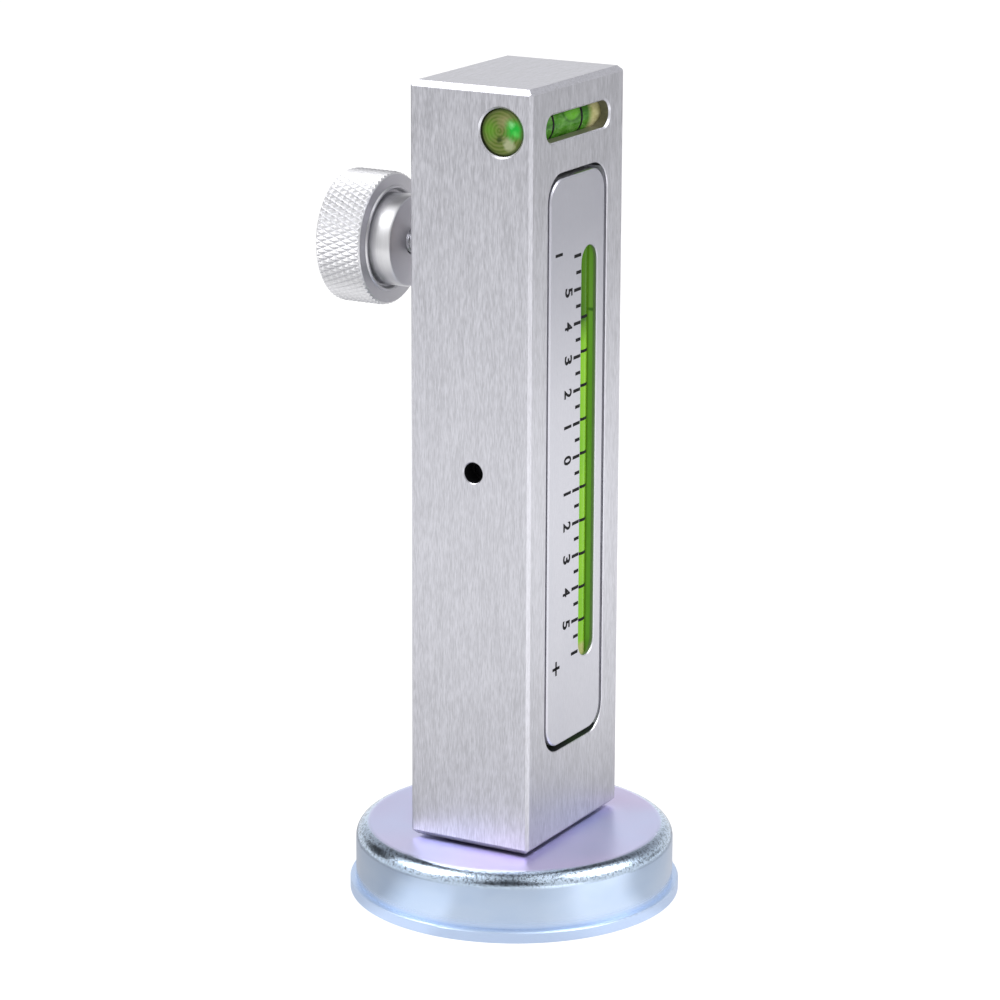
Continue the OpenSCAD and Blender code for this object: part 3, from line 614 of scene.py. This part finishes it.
def piece(name, points, faces, paint, body, slot, replaces=(), crease=35):
    """A mesh piece that rides on a body, smooth but for edges sharper than crease degrees."""
    mesh = bpy.data.meshes.new(name)
    mesh.from_pydata([tuple(p) for p in points], [], faces)
    mesh.materials.append(paint)
    mesh.shade_smooth()
    mesh.set_sharp_from_angle(angle=math.radians(crease))
    made = bpy.data.objects.new(name, mesh)
    bpy.context.scene.collection.objects.link(made)
    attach(made, body)
    if replaces:
        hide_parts(*replaces)
    return made


def boxes(places):
    """Points and faces of several boxes given as (low, high) corners."""
    points, faces = [], []
    for low, high in places:
        first = len(points)
        points += [(x, y, z) for x in (low[0], high[0]) for y in (low[1], high[1])
                   for z in (low[2], high[2])]
        faces += [[first + i for i in face] for face in (
            (0, 1, 3, 2), (4, 6, 7, 5), (0, 4, 5, 1), (2, 3, 7, 6), (0, 2, 6, 4), (1, 5, 7, 3))]
    return points, faces


def lathe(rings, columns, at):
    """Points and faces between rings of the given columns; at(ring, column) gives a point."""
    points = [at(ring, k) for ring in rings for k in range(columns)]
    faces = []
    for i in range(len(rings) - 1):
        for k in range(columns):
            a, b = i * columns + k, i * columns + (k + 1) % columns
            faces.append([a, b, b + columns, a + columns])
    faces.append(list(range(columns - 1, -1, -1)))
    faces.append([(len(rings) - 1) * columns + k for k in range(columns)])
    return points, faces


def lathe_on_x(axis, rings):
    """A lathe along X. Each ring is (x, its radii all round)."""
    columns = len(rings[0][1])

    def at(ring, k):
        x, radii = ring
        angle = 2 * math.pi * k / columns
        return (x, axis.y + radii[k] * math.cos(angle), axis.z + radii[k] * math.sin(angle))

    return lathe(rings, columns, at)


# ---------- scales ----------

INK_LIFT = 0.012 * MM
TICK_THICK = 0.55 * MM
LONG_TICK, SHORT_TICK = 2.3 * MM, 1.6 * MM
DIGIT_HIGH, DIGIT_WIDE = 2.45 * MM, 1.5 * MM
ONE_WIDE = 0.34              # width of a 1 as a share of the other digits'
GLYPH_BOLD = 0.028           # how much the digits' outlines grow
CAMBER_DEGREE = 5.53 * MM    # one degree along the camber scale
CAMBER_HALVES = 12           # half-degree ticks on each side of zero
CAMBER_ZERO = 0.6 * MM       # zero mark above the plate's middle
CAMBER_EDGE = 1.2 * MM       # where the ticks start, beside the window
CAMBER_DIGITS = -2.85 * MM   # middle of the row of digits
CAMBER_SIGNS = -6.2 * MM     # middle of the row that holds the two signs
SIGN_DEGREES = 6.2           # the signs stand this far from zero
SIGN_LONG, SIGN_THICK = 2.4 * MM, 0.5 * MM
CASTER_DEGREE = 4.4 * MM
CASTER_HALVES = 8
CASTER_EDGE = -0.3 * MM
CASTER_DIGITS = 4.3 * MM
CASTER_DIGIT_HIGH = DIGIT_HIGH * 0.8


def ticks(name, face, outward, edge, side, zero, degree, halves):
    """Half-degree marks beside a window. outward and side are signs along X and Y."""
    marks = []
    for half in range(-halves, halves + 1):
        length = SHORT_TICK if half % 2 else LONG_TICK
        z = zero + half * degree / 2
        across = sorted((edge, edge + side * length))
        depth = sorted((face - outward * INK_LIFT, face + outward * INK_LIFT))
        marks.append(((depth[0], across[0], z - TICK_THICK / 2),
                      (depth[1], across[1], z + TICK_THICK / 2)))
    piece(name, *boxes(marks), INK, "gauge", "scale_plate")


def glyph(letter):
    """Points and faces of a sign 1 high and 1 wide round the origin, in X and Y."""
    data = bpy.data.curves.new("glyph", "FONT")
    data.body = letter
    data.offset = GLYPH_BOLD
    carrier = bpy.data.objects.new("glyph", data)
    bpy.context.scene.collection.objects.link(carrier)
    mesh = bpy.data.meshes.new_from_object(
        carrier.evaluated_get(bpy.context.evaluated_depsgraph_get()))
    points = [v.co.copy() for v in mesh.vertices]
    faces = [list(p.vertices) for p in mesh.polygons]
    bpy.data.objects.remove(carrier)
    bpy.data.meshes.remove(mesh)
    low = Vector((min(p.x for p in points), min(p.y for p in points)))
    high = Vector((max(p.x for p in points), max(p.y for p in points)))
    return [((p.x - (low.x + high.x) / 2) / (high.x - low.x),
             (p.y - (low.y + high.y) / 2) / (high.y - low.y)) for p in points], faces


def printed(name, signs, face, right, up):
    """Flat printed signs. signs holds (letter, centre, wide, high), in the plane of one face."""
    points, faces = [], []
    for letter, centre, wide, high in signs:
        flat, polygons = glyph(letter)
        first = len(points)
        points += [Vector((face, centre[0], centre[1])) + right * x * wide + up * y * high
                   for x, y in flat]
        faces += [[first + i for i in polygon] for polygon in polygons]
    piece(name, points, faces, INK, "gauge", "scale_plate")


def camber_scale():
    """Ticks, lying digits, and a minus and a plus sign on the scale plate."""
    zero = middle("camber_plate").z + CAMBER_ZERO
    face = PLATE_HIGH.x
    ticks("camber_ticks", face, 1, CAMBER_EDGE, -1, zero, CAMBER_DEGREE, CAMBER_HALVES)
    digits = [(str(abs(n)), (CAMBER_DIGITS, zero + n * CAMBER_DEGREE),
               DIGIT_WIDE * (ONE_WIDE if abs(n) == 1 else 1), DIGIT_HIGH) for n in range(-5, 6)]
    printed("camber_digits", digits, face + INK_LIFT, Vector((0, 0, -1)), Vector((0, 1, 0)))
    low, high, y = face - INK_LIFT, face + INK_LIFT, CAMBER_SIGNS
    sign_z = SIGN_DEGREES * CAMBER_DEGREE
    bars = [((low, y - SIGN_LONG / 2, zero + s * sign_z - SIGN_THICK / 2),
             (high, y + SIGN_LONG / 2, zero + s * sign_z + SIGN_THICK / 2)) for s in (-1, 1)]
    bars.append(((low, y - SIGN_THICK / 2, zero - sign_z - SIGN_LONG / 2),
                 (high, y + SIGN_THICK / 2, zero - sign_z + SIGN_LONG / 2)))
    piece("camber_signs", *boxes(bars), INK, "gauge", "scale_plate")


def caster_scale():
    """Ticks and digits on the bar's rear face."""
    zero = middle("caster_vial").z
    face = BAR_LOW.x
    ticks("caster_ticks", face, -1, CASTER_EDGE, 1, zero, CASTER_DEGREE, CASTER_HALVES)
    digits = [(str(abs(n)), (CASTER_DIGITS, zero + n * CASTER_DEGREE), DIGIT_WIDE,
               CASTER_DIGIT_HIGH) for n in range(-4, 5, 2)]
    printed("caster_digits", digits, face - INK_LIFT, Vector((0, -1, 0)), Vector((0, 0, 1)))


# ---------- marks on the vials ----------

RING_STEP = 3.75                                 # degrees to a mesh step
CAMBER_MARKS, CAMBER_MARK_STEP = 22.4 * MM, 5.665 * MM   # first mark above zero, and the spacing
CAMBER_MARK_COUNT = 10
CAMBER_MARK_ARC = (-26, 50)                      # degrees from the window's side, and how far on
LEVEL_MARKS = (-4.9 * MM, 4.6 * MM)              # along Y
CASTER_MARKS = (-5 * MM, 5 * MM)                 # from the vial's middle


def ring_marks(name, centres, along, radius, width, body, arc=(0, 360)):
    """Thin bands on a tube, round the axis along. arc has the degrees to start at and to cover."""
    start, sweep = arc
    steps = round(sweep / RING_STEP)
    side = Vector((1, 0, 0))
    other = along.cross(side)
    points, faces = [], []
    for centre in centres:
        first = len(points)
        for i in range(steps + 1):
            angle = math.radians(start + sweep * i / steps)
            out = side * math.cos(angle) + other * math.sin(angle)
            for r, s in ((radius, -1), (radius, 1), (radius + INK_LIFT, 1),
                         (radius + INK_LIFT, -1)):
                points.append(centre + out * r + along * s * width / 2)
        for i in range(steps):
            for k in range(4):
                a, b = first + 4 * i + k, first + 4 * i + (k + 1) % 4
                faces.append([a, b, b + 4, a + 4])
        faces.append([first + k for k in (3, 2, 1, 0)])
        faces.append([first + 4 * steps + k for k in range(4)])
    piece(name, points, faces, RING_INK, body, "vial_tube")


def vial_marks():
    """The printed marks on the three vials."""
    axis, radius = tube("camber_vial")
    zero = middle("camber_plate").z + CAMBER_ZERO
    marks = [Vector((axis.x, axis.y, zero + CAMBER_MARKS - CAMBER_MARK_STEP * k))
             for k in range(CAMBER_MARK_COUNT)]
    ring_marks("camber_vial_marks", marks, Vector((0, 0, 1)), radius, 0.5 * MM, "gauge",
               CAMBER_MARK_ARC)
    axis, radius = tube("level_vial")
    marks = [Vector((axis.x, y, axis.z)) for y in LEVEL_MARKS]
    ring_marks("level_vial_marks", marks, Vector((0, 1, 0)), radius, 0.6 * MM, "gauge")
    axis, radius = tube("caster_vial")
    marks = [Vector((axis.x, axis.y, axis.z + z)) for z in CASTER_MARKS]
    ring_marks("caster_vial_marks", marks, Vector((0, 0, 1)), radius, 0.45 * MM, "caster_rocker")


# ---------- adjusting screw ----------

THREAD_PITCH, THREAD_DEPTH = 0.7 * MM, 0.38 * MM
THREAD_FLAT = 1.15                       # above 1, the thread's crests are flat
THREAD_FADE = 0.6 * MM                   # length over which it runs out at each end
TIP_LONG, TIP_RADIUS, TIP_BEVEL = 1.3 * MM, 1.3 * MM, 0.2 * MM
SCREW_ROWS, SCREW_COLUMNS = 8, 28        # mesh rows to a turn, and columns all round


def threaded_screw():
    """The adjusting screw with its thread, on the same axis, length and tip as the CAD solid."""
    crest = (SCREW_HIGH.y - SCREW_LOW.y) / 2
    start, end = SCREW_LOW.x, SCREW_HIGH.x - TIP_LONG
    rows = int((end - start) / THREAD_PITCH * SCREW_ROWS)

    def thread(x, turn):
        fade = min(1, (x - start) / THREAD_FADE, (end - x) / THREAD_FADE)
        ridge = abs(((x - start) / THREAD_PITCH - turn) % 1 - 0.5) * 2
        return crest - THREAD_DEPTH * (1 - min(1, ridge * THREAD_FLAT) * fade)

    rings = []
    for i in range(rows + 1):
        x = start + (end - start) * i / rows
        rings.append((x, [thread(x, k / SCREW_COLUMNS) for k in range(SCREW_COLUMNS)]))
    rings += [(x, [r] * SCREW_COLUMNS) for x, r in (
        (end, TIP_RADIUS), (SCREW_HIGH.x - TIP_BEVEL, TIP_RADIUS),
        (SCREW_HIGH.x, TIP_RADIUS - TIP_BEVEL))]
    piece("threaded_screw", *lathe_on_x(middle("adjuster_screw"), rings),
          MATERIALS["bright_steel"], "adjuster_knob", "bright_steel", ("adjuster_screw",),
          crease=60)


# ---------- knob ----------

TEETH, STEPS = 64, 8             # teeth round the knurl, and mesh steps to a tooth
KNURL_ROWS = 28                  # mesh steps along the head; STEPS of them to a diamond
KNURL_HALF_ROWS = (0.5, 1.5)     # extra mesh rows in the bevel at each end
KNURL_DEEP, KNURL_LAND = 0.32 * MM, 0.42
HEAD_BEVEL, SMALL_BEVEL = 0.45 * MM, 0.15 * MM
NECK_RADIUS, NECK_LONG, NECK_BEVEL = 7.6 * MM, 3.9 * MM, 0.5 * MM
ROOT_RADIUS, ROOT_DEEP, ROOT_BEVEL = 8.0 * MM, 0.8 * MM, 0.35 * MM
LIP_RADIUS, LIP_WIDE, LIP_HIGH = 8.8 * MM, 0.45 * MM, 0.25 * MM   # thin raised ring
HOLE_ROOM, HOLE_BEVEL = 0.05 * MM, 0.3 * MM                       # round the screw


def knurled_knob():
    """The knob with a crossing knurl and softened edges, between the CAD solid's own ends."""
    radius = (KNOB_HIGH.y - KNOB_LOW.y) / 2
    hole = (SCREW_HIGH.y - SCREW_LOW.y) / 2 + HOLE_ROOM
    left, head, tip = KNOB_LOW.x, KNOB_HIGH.x - NECK_LONG, KNOB_HIGH.x
    step = (head - left) / KNURL_ROWS
    columns = TEETH * STEPS

    def groove(turn):
        return max(0.0, 1 - abs(turn - round(turn)) / KNURL_LAND)

    def knurl(row, k):
        cut = max(groove((k + row) / STEPS), groove((k - row) / STEPS))
        end = min(row, KNURL_ROWS - row) * step
        return radius - max(KNURL_DEEP * cut, HEAD_BEVEL - end)

    rows = sorted([*range(KNURL_ROWS + 1), *KNURL_HALF_ROWS,
                   *(KNURL_ROWS - half for half in KNURL_HALF_ROWS)])
    rings = [(left + row * step, [knurl(row, k) for k in range(columns)]) for row in rows]
    plain = [(x, [r] * columns) for x, r in (
        (head, LIP_RADIUS), (head + LIP_HIGH, LIP_RADIUS - SMALL_BEVEL),
        (head + LIP_HIGH, LIP_RADIUS - LIP_WIDE), (head - 0.1 * MM, ROOT_RADIUS + 0.1 * MM),
        (head - ROOT_BEVEL, ROOT_RADIUS), (head - ROOT_DEEP, ROOT_RADIUS),
        (head - ROOT_DEEP, NECK_RADIUS), (tip - NECK_BEVEL, NECK_RADIUS),
        (tip - SMALL_BEVEL, NECK_RADIUS - SMALL_BEVEL), (tip, NECK_RADIUS - NECK_BEVEL),
        (tip, hole + HOLE_BEVEL), (tip - HOLE_BEVEL, hole), (SCREW_LOW.x - 0.1 * MM, hole))]
    points, faces = lathe_on_x(middle("knob"), rings + plain)
    split = []     # the knurl's faces, split along its diamonds
    for number, face in enumerate(faces):
        row, k = divmod(number, columns)
        if row < len(rings) - 1:
            a, b, c, d = face
            centre = (rows[row] + rows[row + 1]) / 2
            along = groove((k + 0.5 + centre) / STEPS) > groove((k + 0.5 - centre) / STEPS)
            split += [[a, b, d], [b, c, d]] if along else [[a, b, c], [a, c, d]]
        else:
            split.append(face)
    piece("knurled_knob", points, split, MATERIALS["knurled_metal"], "adjuster_knob",
          "knurled_metal", ("knob",), crease=25)


# ---------- end of the level vial ----------

CAP_RADIUS, CAP_THICK = 3.78 * MM, 0.7 * MM
CAP_PERIOD, CAP_WAVE = 0.6 * MM, 0.015 * MM      # of its turned rings
CAP_ROWS, CAP_COLUMNS = 44, 96


def level_cap():
    """Moulded end of the level vial, which fills the round window, with its turned rings."""
    axis = middle("level_vial")
    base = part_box("level_vial")[0].y
    top = base - CAP_THICK
    rings = [(base, CAP_RADIUS), (top + 0.2 * MM, CAP_RADIUS),
             (top + 0.05 * MM, CAP_RADIUS - 0.1 * MM)]
    for i in range(CAP_ROWS):
        r = (CAP_RADIUS - 0.25 * MM) * (1 - i / CAP_ROWS)
        rings.append((top + CAP_WAVE * (1 + math.sin(2 * math.pi * r / CAP_PERIOD)), r))

    def at(ring, k):
        angle = 2 * math.pi * k / CAP_COLUMNS
        return (axis.x + ring[1] * math.cos(angle), ring[0], axis.z + ring[1] * math.sin(angle))

    piece("level_cap", *lathe(rings, CAP_COLUMNS, at), RINGED_END, "gauge", "vial_plug",
          crease=40)


# ---------- stage ----------

PHOTO_SIDE = AZIMUTH - math.pi / 2      # fixed direction of the photograph's side, from above
FLOOR_HALF = 3.0
TABLE_GAIN = 1.32
# What metal sees on the table, as (distance in metres, tone)
TABLE = ((0.0, 0.64), (0.07, 0.65), (0.16, 0.82), (0.27, 1.10), (0.38, 0.92), (0.46, 0.54),
         (0.55, 0.40), (1.0, 0.38))
CORNER_GLOW = 1.75        # how much paler the table is where only the bar's corner bevel mirrors it
CORNER_AT, CORNER_FULL, CORNER_END = 32 / 180, 9 / 180, 20 / 180    # shares of half a turn
# Cards that lie round the foot, as (degrees from the photograph's side, tone). The lower half
# of the foot's wall mirrors the near ones, its upper half the far ones.
NEAR_CARDS = ((-180, 0.4), (-70, 0.47), (-54, 0.9), (-34, 0.9), (-28, 0.68), (12, 0.68),
              (24, 0.78), (33, 0.92), (56, 0.9), (68, 0.58), (180, 0.45))
FAR_CARDS = ((-180, 0.34), (-62, 0.34), (-46, 0.66), (-20, 0.66), (-14, 0.57), (10, 0.57),
             (28, 0.72), (38, 1.05), (66, 1.05), (78, 0.44), (180, 0.4))
NEAR_TO_FAR = (42 * MM, 52 * MM)
CARDS_END = (62 * MM, 72 * MM)
CORNER_START = (62 * MM, 90 * MM)
# What metal sees of the room, from the floor up: (share of the height, tone, blue)
ROOM = ((0.0, 0.7, 1), (0.5, 0.92, 1), (0.63, 0.88, 1), (0.72, 0.5, 1.03), (0.88, 0.14, 1.08),
        (1.0, 0.08, 1.1))
# Its panels: (degrees round, height, full within, ends at, weight, tone)
PANELS = ((-6, 44, 32, 40, 0.93, 0.09), (-72, 44, 34, 41, 0.95, 1.15),
          (66, 44, 36, 42, 0.95, 1.15), (180, 11, 12, 22, 0.9, 1.15),
          (-123, 22, 14, 20, 0.95, 0.05), (120, 6, 5, 9, 0.85, 0.08))
# Lamps: (name, degrees round, height, watts)
LAMPS = (("key_left", -80, 47, 6.0), ("fill_right", 78, 42, 5.0))
LAMP_AWAY, LAMP_SIZE = 1.05, (0.5, 0.6)


def towards(around, height):
    """Unit vector: degrees round from the photograph's side, and degrees of height."""
    azimuth, up = PHOTO_SIDE + math.radians(around), math.radians(height)
    return Vector((math.cos(azimuth) * math.cos(up), math.sin(azimuth) * math.cos(up),
                   math.sin(up)))


def turned_from_photo(tree, x, y):
    """Angle of a place round the upright axis, 0 at the photograph's side, as a share of half
    a turn."""
    flat = node(tree, "CombineXYZ", [(0, x), (1, y), (2, 0.0)]).outputs[0]
    side = node(tree, "VectorRotate", [("Vector", flat), ("Angle", -PHOTO_SIDE)],
                rotation_type="Z_AXIS").outputs[0]
    side = parts(tree, side)
    return math_of(tree, "DIVIDE", math_of(tree, "ARCTAN2", side[1], side[0]), math.pi)


def ramp_of(tree, value, stops, smooth=True):
    """Colour ramp through (place, colour) stops, of which the first is at 0 and the last at 1."""
    made = node(tree, "ValToRGB", [(0, value)])
    made.color_ramp.interpolation = "EASE" if smooth else "LINEAR"
    elements = made.color_ramp.elements
    elements[0].color, elements[1].color = stops[0][1], stops[-1][1]
    for at, colour in stops[1:-1]:
        elements.new(at).color = colour
    return made.outputs[0]


def grey(level, blue=1):
    return (level, level, level * blue, 1)


def ring_of_cards(tree, around, cards):
    """Tones round the foot; around is 0 at the side away from the photograph, through half a
    turn at its near side, to 1."""
    return ramp_of(tree, around, [(degrees / 360 + 0.5, grey(tone, 1.05))
                                  for degrees, tone in cards], smooth=False)


def mirrored_ray(path):
    """1 for what metal and glass see."""
    return math_of(path.id_data, "MAXIMUM", path.outputs["Is Glossy Ray"],
                   path.outputs["Is Transmission Ray"])


def make_floor():
    """Pale floor. Metal sees it as a studio table: paler in the middle, with cards near the
    foot."""
    made, tree, bsdf = new_material("floor")
    path = node(tree, "LightPath")
    wire(tree, bsdf, Base_Color=(0.22, 0.22, 0.22, 1), Roughness=1.0, Specular_IOR_Level=0.0,
         Emission_Color=(1, 1, 1, 1), Emission_Strength=0.86)
    at = parts(tree, object_at(tree))
    out = from_axis(tree, (0, 0, 0), (1, 1, 0))
    table = ramp_of(tree, out, [(distance, grey(tone)) for distance, tone in TABLE])
    around = turned_from_photo(tree, at[0], at[1])
    circle = math_of(tree, "ADD", math_of(tree, "MULTIPLY", around, 0.5), 0.5)
    cards = tinted(tree, ring_of_cards(tree, circle, NEAR_CARDS),
                   ring_of_cards(tree, circle, FAR_CARDS), out, 0, 1, *NEAR_TO_FAR)
    card = tinted(tree, table, cards, out, 1, 0, *CARDS_END)
    corner = spread(tree, away(tree, around, CORNER_AT), CORNER_GLOW * TABLE_GAIN, TABLE_GAIN,
                    CORNER_FULL, CORNER_END)
    gain = blend_values(tree, spread(tree, out, 0, 1, *CORNER_START), TABLE_GAIN, corner)
    glow = node(tree, "Emission", [("Color", card), ("Strength", gain)]).outputs[0]
    plain = node(tree, "BsdfDiffuse", [("Color", (0.8, 0.8, 0.8, 1))]).outputs[0]
    seen = node(tree, "MixShader", [(0, path.outputs["Is Camera Ray"]), (1, plain),
                                    (2, bsdf.outputs[0])]).outputs[0]
    mixed = node(tree, "MixShader", [(0, mirrored_ray(path)), (1, seen), (2, glow)]).outputs[0]
    tree.links.new(mixed, tree.nodes["Material Output"].inputs["Surface"])
    mesh = bpy.data.meshes.new("floor")
    size = FLOOR_HALF
    mesh.from_pydata([(-size, -size, 0), (size, -size, 0), (size, size, 0), (-size, size, 0)],
                     [], [(0, 1, 2, 3)])
    mesh.materials.append(made)
    floor = bpy.data.objects.new("floor", mesh)
    bpy.context.scene.collection.objects.link(floor)


def make_world():
    """White to the camera, plain to matt surfaces, and a studio with panels to metal and glass."""
    world = bpy.data.worlds.new("studio")
    bpy.context.scene.world = world
    world.use_nodes = True
    tree = world.node_tree
    path = node(tree, "LightPath")
    direction = node(tree, "TexCoord").outputs["Generated"]
    height = parts(tree, direction)[2]
    room = ramp_of(tree, spread(tree, height, 0, 1, -1, 1),
                   [(place, grey(tone, blue)) for place, tone, blue in ROOM])
    for around, up, inner, outer, weight, tone in PANELS:
        close = vector_math(tree, "DOT_PRODUCT", direction, towards(around, up))["Value"]
        room = tinted(tree, room, grey(tone), close, 0, weight,
                      math.cos(math.radians(outer)), math.cos(math.radians(inner)))
    plain = blend_colours(tree, path.outputs["Is Camera Ray"], grey(0.72, 1.01), grey(1.0))
    background = tree.nodes["Background"]
    tree.links.new(blend_colours(tree, mirrored_ray(path), plain, room),
                   background.inputs["Color"])
    background.inputs["Strength"].default_value = 1.0


def make_lights():
    """Area lamps that face the middle of the bar."""
    for name, around, height, power in LAMPS:
        data = bpy.data.lights.new(name, "AREA")
        data.shape = "RECTANGLE"
        data.size, data.size_y = LAMP_SIZE
        data.energy = power
        lamp = bpy.data.objects.new(name, data)
        lamp.location = towards(around, height) * LAMP_AWAY
        lamp.rotation_euler = (TARGET - lamp.location).to_track_quat("-Z", "Y").to_euler()
        bpy.context.scene.collection.objects.link(lamp)


bpy.context.scene.view_settings.view_transform = "Standard"
make_camera()
make_world()
make_lights()
make_floor()
dress_cad_nodes()
camber_scale()
caster_scale()
vial_marks()
threaded_screw()
knurled_knob()
level_cap()
